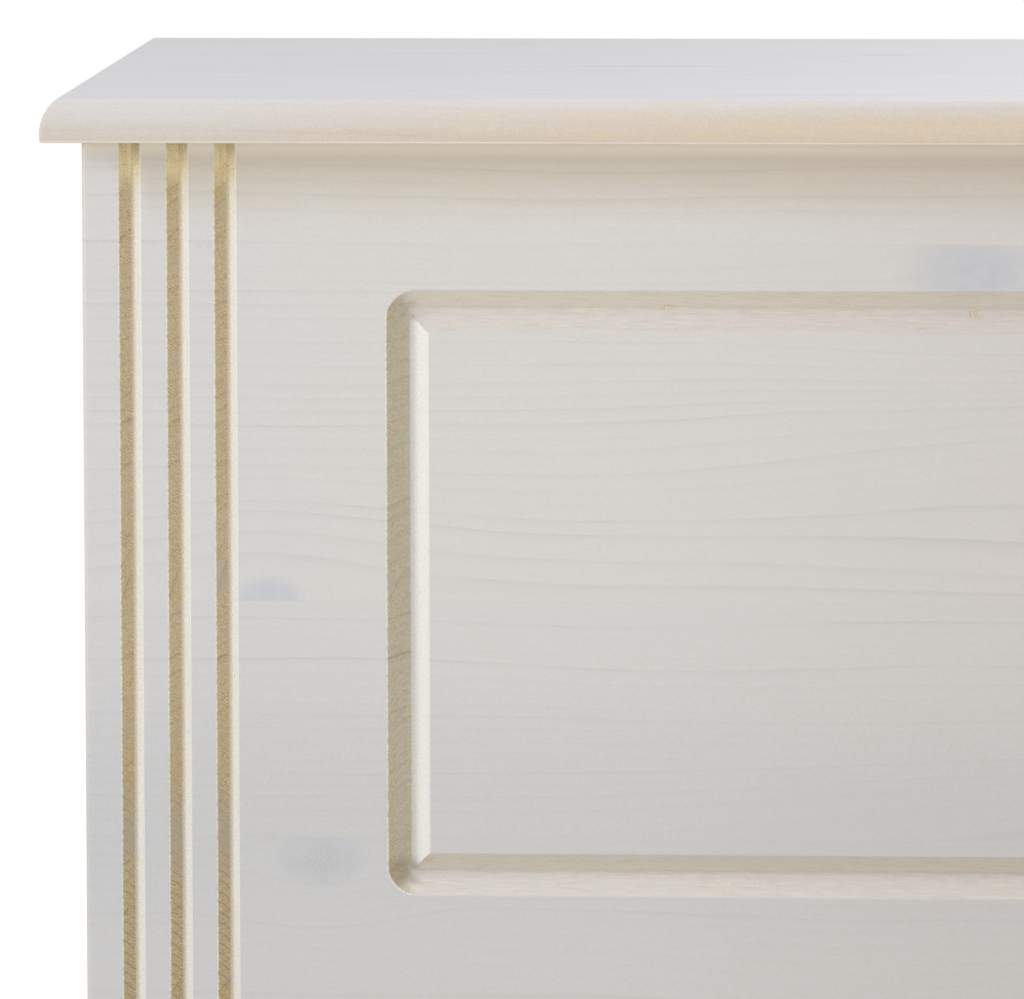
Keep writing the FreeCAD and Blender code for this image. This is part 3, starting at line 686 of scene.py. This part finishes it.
def zinc():
    """Bright zinc plate: a fine brushed grain and faint cloudy patches."""
    made, g = material("zinc plated steel")
    at = g.place()
    cloud = g.noise(at.X / 9, at.Y / 9, at.Z / 9, detail=3.0)
    brush = g.noise(at.X / 6, at.Y / 0.12, at.Z / 0.12)
    speck = g.noise(at.X / 0.5, at.Y / 0.5, at.Z / 0.5)
    colour = g.blend(g.step(cloud, -0.8, 0.8), srgb(196, 198, 201), srgb(214, 215, 214))
    colour = g.blend(g.step(speck, 0.5, 1.0) * 0.35, colour, srgb(176, 177, 180))
    rough = cloud * 0.05 + brush * 0.05 + 0.34
    g.surface(brush * 0.006 + speck * 0.004, **{"Base Color": colour, "Roughness": rough, "Metallic": 1.0})
    return made


def moulded(name, colour, dark, roughness, grain):
    """Moulded plastic or rubber with a fine matt grain."""
    made, g = material(name)
    at = g.place()
    cloud = g.noise(at.X / 6, at.Y / 6, at.Z / 6)
    pit = g.noise(at.X / 0.4, at.Y / 0.4, at.Z / 0.4)
    tint = g.blend(g.step(cloud, -0.8, 0.8) * 0.6, colour, dark)
    g.surface(pit * grain, **{"Base Color": tint, "Roughness": roughness + pit * 0.04})
    return made


def placed(name, data):
    """A new object in the scene."""
    made = bpy.data.objects.new(name, data)
    bpy.context.scene.collection.objects.link(made)
    return made


def keep(name, mesh, look, body, replaced=()):
    """A finished mesh as a piece: smooth except at its sharp edges, riding on its body."""
    for polygon in mesh.polygons:
        polygon.use_smooth = True
    mesh.set_sharp_from_angle(angle=smooth_below)
    mesh.materials.clear()
    mesh.materials.append(look)
    piece = placed(name, mesh)
    even = piece.modifiers.new("even normals", "WEIGHTED_NORMAL")
    even.keep_sharp = True
    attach(piece, body)
    if replaced:
        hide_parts(*replaced)


def mesh_of(bm, name):
    """A mesh from a bmesh, with its faces turned outwards."""
    bmesh.ops.recalc_face_normals(bm, faces=bm.faces[:])
    mesh = bpy.data.meshes.new(name)
    bm.to_mesh(mesh)
    bm.free()
    return mesh


def vee_depth(distance, width, depth, tip):
    """How deep a vee cut with a round tip and soft rims is, at a distance from its middle line."""
    half, centre = width / 2, depth - tip
    lean = math.atan2(-centre, half) + math.acos(tip / math.hypot(half, centre))
    touch = tip * math.cos(lean)
    slope = (centre + tip * math.sin(lean)) / (half - touch)
    away = np.abs(distance)
    bowl = centre + np.sqrt(np.maximum(tip**2 - away**2, 0))
    raw = np.where(away < touch, bowl, (half - away) * slope)
    ease = np.maximum(rim_softness - np.abs(raw), 0) / rim_softness
    return np.maximum(raw, 0) + ease**2 * rim_softness / 4


flute_places = [side * (panel_high.x - flute_inset - i * flute_pitch)
                for i in range(flute_count) for side in (-1, 1)]
groove_x = panel_high.x - groove_end_inset
groove_z = (panel_high.z - panel_low.z) / 2 - groove_edge_inset
panel_middle = (panel_high.z + panel_low.z) / 2


def front_depth(x, z):
    """The depth of the routed groove and of the flutes at points of the front."""
    qx, qz = np.abs(x) - (groove_x - groove_turn), np.abs(z - panel_middle) - (groove_z - groove_turn)
    outside = np.hypot(np.maximum(qx, 0), np.maximum(qz, 0))
    from_path = outside + np.minimum(np.maximum(qx, qz), 0) - groove_turn
    depth = vee_depth(from_path, groove_width, groove_depth, groove_tip)
    for place in flute_places:
        depth = np.maximum(depth, vee_depth(x - place, flute_width, flute_depth, flute_tip))
    return depth


def lines_round(middle, width, step):
    """Grid lines across a cut, with a guard line on the flat at each side."""
    reach = width / 2 + 2 * step
    count = math.ceil(2 * reach / step)
    lines = [middle - reach + 2 * reach * i / count for i in range(count + 1)]
    return [middle - reach - guard] + lines + [middle + reach + guard]


def fill_lines(lines, low, high, widest):
    """Grid lines with the wide gaps divided."""
    lines = sorted(set([low, high] + [p for p in lines if low < p < high]))
    filled = []
    for a, b in zip(lines, lines[1:]):
        count = max(1, math.ceil((b - a) / widest))
        filled += [a + (b - a) * i / count for i in range(count)]
    return filled + [high]


def front_outline():
    """The panel's plan, from the back left corner round to the back right: places and outward directions."""
    arc_steps = 5
    lines = lines_round(-groove_x, groove_width, fine_step) + lines_round(groove_x, groove_width, fine_step)
    for place in flute_places:
        lines += lines_round(place, flute_width, fine_step)
    inner = panel_high.x - front_arris
    lines = fill_lines(lines, -inner, inner, widest_cell)
    turns = [math.pi / 2 * i / arc_steps for i in range(arc_steps)]
    arc = [(inner + front_arris * math.cos(t), panel_low.y + front_arris * (1 - math.sin(t)),
            math.cos(t), -math.sin(t)) for t in turns]
    guard_y = panel_low.y + front_arris + guard
    right = [(panel_high.x, panel_high.y, 1.0, 0.0), (panel_high.x, guard_y, 1.0, 0.0)] + arc
    left = [(-x, y, -nx, ny) for x, y, nx, ny in right]
    front = [(x, panel_low.y, 0.0, -1.0) for x in lines]
    return left + front + right[::-1]


def front_rows():
    """Heights of the panel's grid, and how far each row is drawn in at the eased top and bottom edges."""
    ease_steps = 3
    low, high = panel_low.z, panel_high.z + front_rise
    lines = []
    for z in (panel_middle - groove_z, panel_middle + groove_z):
        lines += lines_round(z, groove_width, fine_step)
    lines += [low + top_ease + guard, high - top_ease - guard]
    lines = fill_lines(lines, low + top_ease, high - top_ease, widest_cell)
    turns = [math.pi / 2 * i / ease_steps for i in range(ease_steps)]
    rounded = [(top_ease * (1 - math.sin(t)), top_ease * (1 - math.cos(t))) for t in turns]
    bottom = [(low + rise, drawn) for drawn, rise in rounded]
    top = [(high - rise, drawn) for drawn, rise in rounded]
    return bottom + [(z, 0.0) for z in lines] + top[::-1]


def front_panel_mesh():
    """The front board: a fine grid over its shaped front and ends, closed behind, above and below."""
    columns, rows = front_outline(), front_rows()
    plan = np.array(columns)
    heights = np.array(rows)
    x = plan[None, :, 0] - plan[None, :, 2] * heights[:, 1:2]
    y = plan[None, :, 1] - plan[None, :, 3] * heights[:, 1:2]
    z = np.repeat(heights[:, 0:1], len(columns), axis=1)
    on_front = plan[:, 3] == -1.0
    depth = front_depth(x, z) * on_front
    y = y + depth
    points = np.stack([x, y, z], axis=2).reshape(-1, 3)
    wide = len(columns)
    centre_depth = front_depth((x[1:, 1:] + x[:-1, :-1]) / 2, (z[1:, 1:] + z[:-1, :-1]) / 2)
    rising = np.abs((depth[:-1, :-1] + depth[1:, 1:]) / 2 - centre_depth)
    falling = np.abs((depth[1:, :-1] + depth[:-1, 1:]) / 2 - centre_depth)
    faces = []
    flat_enough = 0.002 * mm
    for j in range(len(rows) - 1):
        for i in range(wide - 1):
            a, b, c, d = j * wide + i, j * wide + i + 1, (j + 1) * wide + i + 1, (j + 1) * wide + i
            if abs(rising[j, i] - falling[j, i]) < flat_enough:
                faces.append((a, b, c, d))
            elif rising[j, i] < falling[j, i]:
                faces += [(a, b, c), (a, c, d)]
            else:
                faces += [(a, b, d), (b, c, d)]
        faces.append((j * wide, (j + 1) * wide, (j + 2) * wide - 1, (j + 1) * wide - 1))
    last = (len(rows) - 1) * wide
    faces += [tuple(range(wide)), tuple(range(last, last + wide))]
    mesh = bpy.data.meshes.new("front_panel")
    mesh.from_pydata(points.tolist(), [], faces)
    bm = bmesh.new()
    bm.from_mesh(mesh)
    bpy.data.meshes.remove(mesh)
    return mesh_of(bm, "front_panel")


def lid_rings():
    """The lid's edge from its underside up: height, inset at the front and ends, and inset at the back."""
    arris_steps, arc_steps, crease_steps = 3, 14, 4
    quarter = [math.pi / 2 * i / arris_steps for i in range(arris_steps + 1)]
    rise = lid_high.z - lid_low.z - lid_upright
    last_turn = math.asin(rise / lid_arc)
    crease = lid_arc - lid_arc * math.cos(last_turn)
    rings = [(lid_arris * (1 - math.cos(t)), lid_arris * (1 - math.sin(t))) for t in quarter]
    rings.append((lid_upright, 0.0))
    stop = last_turn - crease_ease / lid_arc
    for i in range(1, arc_steps + 1):
        turn = stop * i / arc_steps
        rings.append((lid_upright + lid_arc * math.sin(turn), lid_arc * (1 - math.cos(turn))))
    start, corner = rings[-1], (lid_upright + rise, crease)
    end = (lid_upright + rise, crease + crease_ease)
    for i in range(1, crease_steps + 1):
        t = i / crease_steps
        shares = ((1 - t)**2, 2 * t * (1 - t), t**2)
        rings.append(tuple(sum(share * part for share, part in zip(shares, parts))
                           for parts in zip(start, corner, end)))
    thickness = lid_high.z - lid_low.z
    made = []
    for height, inset in rings:
        from_face = min(height, thickness - height)
        short = max(lid_arris - from_face, 0.0)
        made.append((height, inset, lid_arris - math.sqrt(lid_arris**2 - short**2)))
    return made


def lid_ring(height, inset, back_inset):
    """One level of the lid's outline, a rectangle with slightly rounded corners."""
    low_x, high_x = lid_low.x + inset, lid_high.x - inset
    low_y, high_y = lid_low.y + inset, lid_high.y - back_inset
    corners = [(high_x, low_y, -90), (high_x, high_y, 0), (low_x, high_y, 90), (low_x, low_y, 180)]
    steps = 4
    ring = []
    for x, y, first in corners:
        centre_x = x - math.copysign(lid_corner, x)
        centre_y = y + (lid_corner if y == low_y else -lid_corner)
        for i in range(steps + 1):
            turn = math.radians(first + 90 * i / steps)
            x_at, y_at = centre_x + lid_corner * math.cos(turn), centre_y + lid_corner * math.sin(turn)
            ring.append((x_at, y_at, lid_low.z + height))
    return ring


def box_mesh(bm, low, high):
    """Adds a plain box, for use as a cutter."""
    size = Vector(high) - Vector(low)
    middle = (Vector(low) + Vector(high)) / 2
    bmesh.ops.create_cube(bm, size=1.0, matrix=Matrix.Translation(middle) @ Matrix.Diagonal((*size, 1.0)))


def lid_mesh():
    """The lid's board with its moulded edge, and pockets for the hinge leaves."""
    bm = bmesh.new()
    levels = [[bm.verts.new(p) for p in lid_ring(*ring)] for ring in lid_rings()]
    for lower, upper in zip(levels, levels[1:]):
        for i in range(len(lower)):
            j = (i + 1) % len(lower)
            bm.faces.new((lower[i], lower[j], upper[j], upper[i]))
    bm.faces.new(levels[0])
    bm.faces.new(levels[-1])
    board = placed("lid_blank", mesh_of(bm, "lid_blank"))
    cut = bmesh.new()
    reach = hinge_length / 2 + hinge_recess_gap
    overrun = 5 * mm
    for x in hinge_places:
        low = (x - reach, lid_high.y - hinge_leaf_width - hinge_recess_gap, lid_low.z - overrun)
        box_mesh(cut, low, (x + reach, lid_high.y + overrun, leaf_plate_top))
    cutter = placed("pocket_cutter", mesh_of(cut, "pocket_cutter"))
    pockets = board.modifiers.new("pockets", "BOOLEAN")
    pockets.object, pockets.operation, pockets.solver = cutter, "DIFFERENCE", "EXACT"
    mesh = bpy.data.meshes.new_from_object(board.evaluated_get(bpy.context.evaluated_depsgraph_get()))
    for made in (board, cutter):
        bpy.data.objects.remove(made)
    return mesh


def eased_mesh(node, width):
    """A CAD board's own shape with its long sharp edges slightly rounded."""
    long_edge = 4 * width
    bm = bmesh.new()
    bm.from_mesh(nodes[node].data)
    bmesh.ops.remove_doubles(bm, verts=bm.verts[:], dist=0.001 * mm)
    bmesh.ops.dissolve_limit(bm, angle_limit=math.radians(1), verts=bm.verts[:], edges=bm.edges[:])
    sharp = [edge for edge in bm.edges if edge.is_manifold
             and edge.calc_length() > long_edge and edge.calc_face_angle() > eased_above]
    bmesh.ops.bevel(bm, geom=sharp, offset=width, offset_type="OFFSET", segments=3, profile=0.5,
                    affect="EDGES", clamp_overlap=False)
    return mesh_of(bm, node)


def screw_head(bm, radius, sink, at, facing):
    """Adds a countersunk head with a cross recess, its rim at a point and its face towards a direction."""
    rings, around = 9, 32
    arm, reach, deep = radius * 0.17, radius * 0.62, radius * 0.42
    turn = Vector(facing).to_track_quat("Z", "Y").to_matrix().to_4x4()
    place = Matrix.Translation(at) @ turn

    def recess(x, y):
        """How deep the cross is at a point of the head."""
        def across(a, b):
            wall = min(max((arm - abs(b)) / (arm * 0.35) + 0.5, 0.0), 1.0)
            taper = min(max((reach - abs(a)) / (reach * 0.45), 0.0), 1.0)
            return wall * taper
        return deep * max(across(x, y), across(y, x))

    levels = []
    turns = [2 * math.pi * k / around for k in range(around)]
    for i in range(1, rings + 1):
        lift = -0.04 * radius if i == rings else 0.0
        ring = []
        for t in turns:
            x, y = radius * i / rings * math.cos(t), radius * i / rings * math.sin(t)
            ring.append(bm.verts.new(place @ Vector((x, y, lift - recess(x, y)))))
        levels.append(ring)
    neck = [bm.verts.new(place @ Vector((radius * 0.5 * math.cos(t), radius * 0.5 * math.sin(t), -sink)))
            for t in turns]
    levels.append(neck)
    centre = bm.verts.new(place @ Vector((0, 0, -recess(0, 0))))
    for lower, upper in zip(levels, levels[1:]):
        for k in range(around):
            m = (k + 1) % around
            bm.faces.new((lower[k], lower[m], upper[m], upper[k]))
    for k in range(around):
        bm.faces.new((centre, levels[0][k], levels[0][(k + 1) % around]))
    bm.faces.new(neck[::-1])


def screws(name, radius, sink, places, facing, body):
    """A group of like screws as one piece."""
    bm = bmesh.new()
    for at in places:
        place = Vector(at)
        screw_head(bm, radius, sink, place, facing(place) if callable(facing) else facing)
    keep(name, mesh_of(bm, name), zinc_look, body)


hinge_places = [-(leaf_high.x - hinge_length / 2), leaf_high.x - hinge_length / 2]
hinge_z = (leaf_low.z + leaf_high.z) / 2
lower_mouth, leaf_mouth = hinge_z - hinge_leaf_gap / 2, hinge_z + hinge_leaf_gap / 2
leaf_plate_top = leaf_mouth + hinge_leaf_thickness

# Looks of the boards: for the plain ones the axes, the staves' width, a seed and the number of knots
zinc_look = zinc()
front_wood = Wood("XZY", front_staves, front_knots, front_swerves, front_glaze, 0.0, 3.0)
front_look = pine("whitewashed pine front", front_wood, front_finish)
lid_wood = board_wood("lid_board", "XYZ", 95, 11, lid_glaze, 0.0)
lid_wood = lid_wood._replace(knots=lid_knots, swerves=lid_swerves)
lid_look = pine("whitewashed pine lid", lid_wood, lid_finish)
boards = {
    "left_side_panel": ("YZX", 92, 21, 3),
    "right_side_panel": ("YZX", 92, 33, 3),
    "back_panel": ("XZY", 88, 41, 5),
    "front_left_post": ("ZXY", 60, 51, 0),
    "front_right_post": ("ZXY", 60, 52, 0),
    "back_left_post": ("ZXY", 60, 53, 0),
    "back_right_post": ("ZXY", 60, 54, 0),
    "front_cleat": ("XZY", 60, 61, 0),
    "back_cleat": ("XZY", 60, 62, 0),
    "left_cleat": ("YZX", 60, 63, 0),
    "right_cleat": ("YZX", 60, 64, 0),
    "left_lid_batten": ("YXZ", 60, 71, 1),
    "right_lid_batten": ("YXZ", 60, 72, 1),
}

keep("front_board", front_panel_mesh(), front_look, "carcass", ["front_panel"])
keep("lid_top_board", lid_mesh(), lid_look, "lid", ["lid_board"])
for node, (axes, stave_width, seed, knot_count) in boards.items():
    ease = board_ease if node.endswith("panel") else strip_ease
    body = "lid" if "lid" in node else "carcass"
    wood = board_wood(node, axes, stave_width, seed, knots=knot_count)
    look = pine("whitewashed pine " + node.replace("_", " "), wood)
    keep(node + "_wood", eased_mesh(node, ease), look, body, [node])
keep("bottom_sheet", eased_mesh("bottom_panel", sheet_ease), plywood(), "carcass",
     ["bottom_panel"])

plastic_look = moulded("white plastic", srgb(226, 224, 218), srgb(216, 213, 205), 0.45, 0.010)
rubber_look = moulded("grey rubber", srgb(206, 203, 196), srgb(190, 187, 180), 0.62, 0.015)
slot_looks = {
    "zinc_plated_steel": zinc_look,
    "bumper_rubber": rubber_look,
    "glide_plastic": plastic_look,
}
slot_of = {row["node"]: row["material_slot"] for row in frame["record"]["subparts"]}
for node, shown in nodes.items():
    look = slot_looks.get(slot_of[node])
    if look and not shown.hide_render:
        shown.data.materials.clear()
        shown.data.materials.append(look)

# Screws, which stand a little proud of what they hold
hole_y = lid_high.y - hinge_hole_setback
hole_xs = [x + i * hinge_hole_pitch for x in hinge_places for i in (-1, 0, 1)]
screws("hinge_lid_screws", leaf_screw_radius, leaf_screw_sink,
       [(x, hole_y, leaf_mouth + screw_proud) for x in hole_xs], (0, 0, -1), "lid")
screws("hinge_carcass_screws", leaf_screw_radius, leaf_screw_sink,
       [(x, hole_y, lower_mouth - screw_proud) for x in hole_xs], (0, 0, 1), "carcass")
foot_x = bracket_high.x - bracket_foot_width + bracket_hole_setback
foot_z = lid_low.z - bracket_thickness + screw_proud
screws("stay_bracket_screws", bracket_screw_radius, bracket_screw_sink,
       [(side * foot_x, stay_y + half * bracket_hole_spacing / 2, foot_z)
        for side in (-1, 1) for half in (-1, 1)], (0, 0, -1), "lid")
batten_x = (batten_low.x + batten_high.x) / 2
batten_y = (batten_low.y + batten_high.y) / 2
batten_z = batten_low.z - screw_proud
screws("batten_screws", wood_screw_radius, wood_screw_sink,
       [(side * batten_x, batten_y + step * batten_screw_pitch, batten_z)
        for side in (-1, 1) for step in (-1, 0, 1)], (0, 0, -1), "lid")
cleat_z = (cleat_low.z + cleat_high.z) / 2
cleat_ys = (long_cleat_high.y + screw_proud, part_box("back_cleat")[0].y - screw_proud)
screws("long_cleat_screws", wood_screw_radius, wood_screw_sink,
       [(step * cleat_screw_pitch, y, cleat_z) for step in (-1, 0, 1) for y in cleat_ys],
       lambda at: (0, 1 if at.y < 0 else -1, 0), "carcass")
screws("side_cleat_screws", wood_screw_radius, wood_screw_sink,
       [(side * (cleat_low.x - screw_proud), y, cleat_z) for side in (-1, 1) for y in side_cleat_screw_ys],
       lambda at: (1 if at.x < 0 else -1, 0, 0), "carcass")


def studio():
    """A pale floor, even light from all round, and soft lamps."""
    mesh = bpy.data.meshes.new("floor")
    corners = [(x * floor_half, y * floor_half, 0) for x, y in ((-1, -1), (1, -1), (1, 1), (-1, 1))]
    mesh.from_pydata(corners, [], [(0, 1, 2, 3)])
    floor = placed("floor", mesh)
    made, g = material("pale floor")
    shader = g.surface(**{"Base Color": floor_colour, "Roughness": 0.9})
    shader.inputs["Specular IOR Level"].default_value = 0.1
    shader.inputs["Emission Color"].default_value = (1.0, 1.0, 1.0, 1.0)
    g.feed(shader.inputs["Emission Strength"], g.looked_at() * floor_lift)
    mesh.materials.append(made)
    world = bpy.data.worlds.new("studio")
    world.use_nodes = True
    bpy.context.scene.world = world
    w = Graph(world.node_tree)
    strength = w.looked_at() * (1.0 - sky_strength) + sky_strength
    light = w.add("ShaderNodeBackground", {"Color": (1.0, 1.0, 1.0, 1.0), "Strength": strength})
    output = w.add("ShaderNodeOutputWorld")
    w.tree.links.new(light.outputs[0], output.inputs["Surface"])
    for name, (target, direction, distance, size, power) in lamps.items():
        lamp_data = bpy.data.lights.new(name, "AREA")
        lamp_data.shape, lamp_data.size, lamp_data.energy = "SQUARE", size, power
        lamp = placed(name, lamp_data)
        lamp.location = Vector(target) + Vector(direction).normalized() * distance
        lamp.rotation_mode = "QUATERNION"
        lamp.rotation_quaternion = Vector(direction).to_track_quat("Z", "Y")
        lamp.visible_camera = False


def photograph_camera():
    """The camera at the photograph's place: far off, a little right of the middle and above."""
    camera_data = bpy.data.cameras.new("camera")
    camera_data.lens = camera_lens
    camera_data.clip_end = 200.0
    camera = placed("camera", camera_data)
    level = math.cos(camera_pitch)
    ahead = Vector((-math.sin(camera_yaw) * level, math.cos(camera_yaw) * level, -math.sin(camera_pitch)))
    right = ahead.cross(Vector((0, 0, 1))).normalized()
    up = right.cross(ahead)
    cos_roll, sin_roll = math.cos(camera_roll), math.sin(camera_roll)
    right, up = right * cos_roll + up * sin_roll, up * cos_roll - right * sin_roll
    turn = Matrix((right, up, -ahead)).transposed()
    camera.matrix_world = Matrix.Translation(camera_place) @ turn.to_4x4()
    bpy.context.scene.camera = camera


# Light and camera
floor_half = 60.0
floor_colour = srgb(196, 195, 194)
sky_strength = 0.56
floor_lift = 0.68
# Each lamp's target, the direction it stands in, its distance, its size and its power
lamps = {
    "key": ((-0.30, -0.19, 0.25), (-0.841, -0.443, 0.31), 1.8, 0.6, 13.0),
    "front_softbox": ((-0.05, -0.19, 0.40), (0.0, -1.0, 0.05), 0.80, 0.7, 2.3),
    "top_softbox": ((0.40, -0.16, 0.40), (0.50, 0.10, 1.0), 1.0, 0.8, 5.2),
    "back_softbox": ((0.0, 0.20, 0.19), (0.15, 1.0, 0.0), 1.1, 0.36, 3.0),
}
camera_place = Vector((0.17952, -5.29738, 0.75772))
camera_yaw = 0.07495
camera_pitch = 0.10221
camera_roll = -0.00321
camera_lens = 433.77

studio()
photograph_camera()
bpy.context.scene.view_settings.view_transform = "Standard"
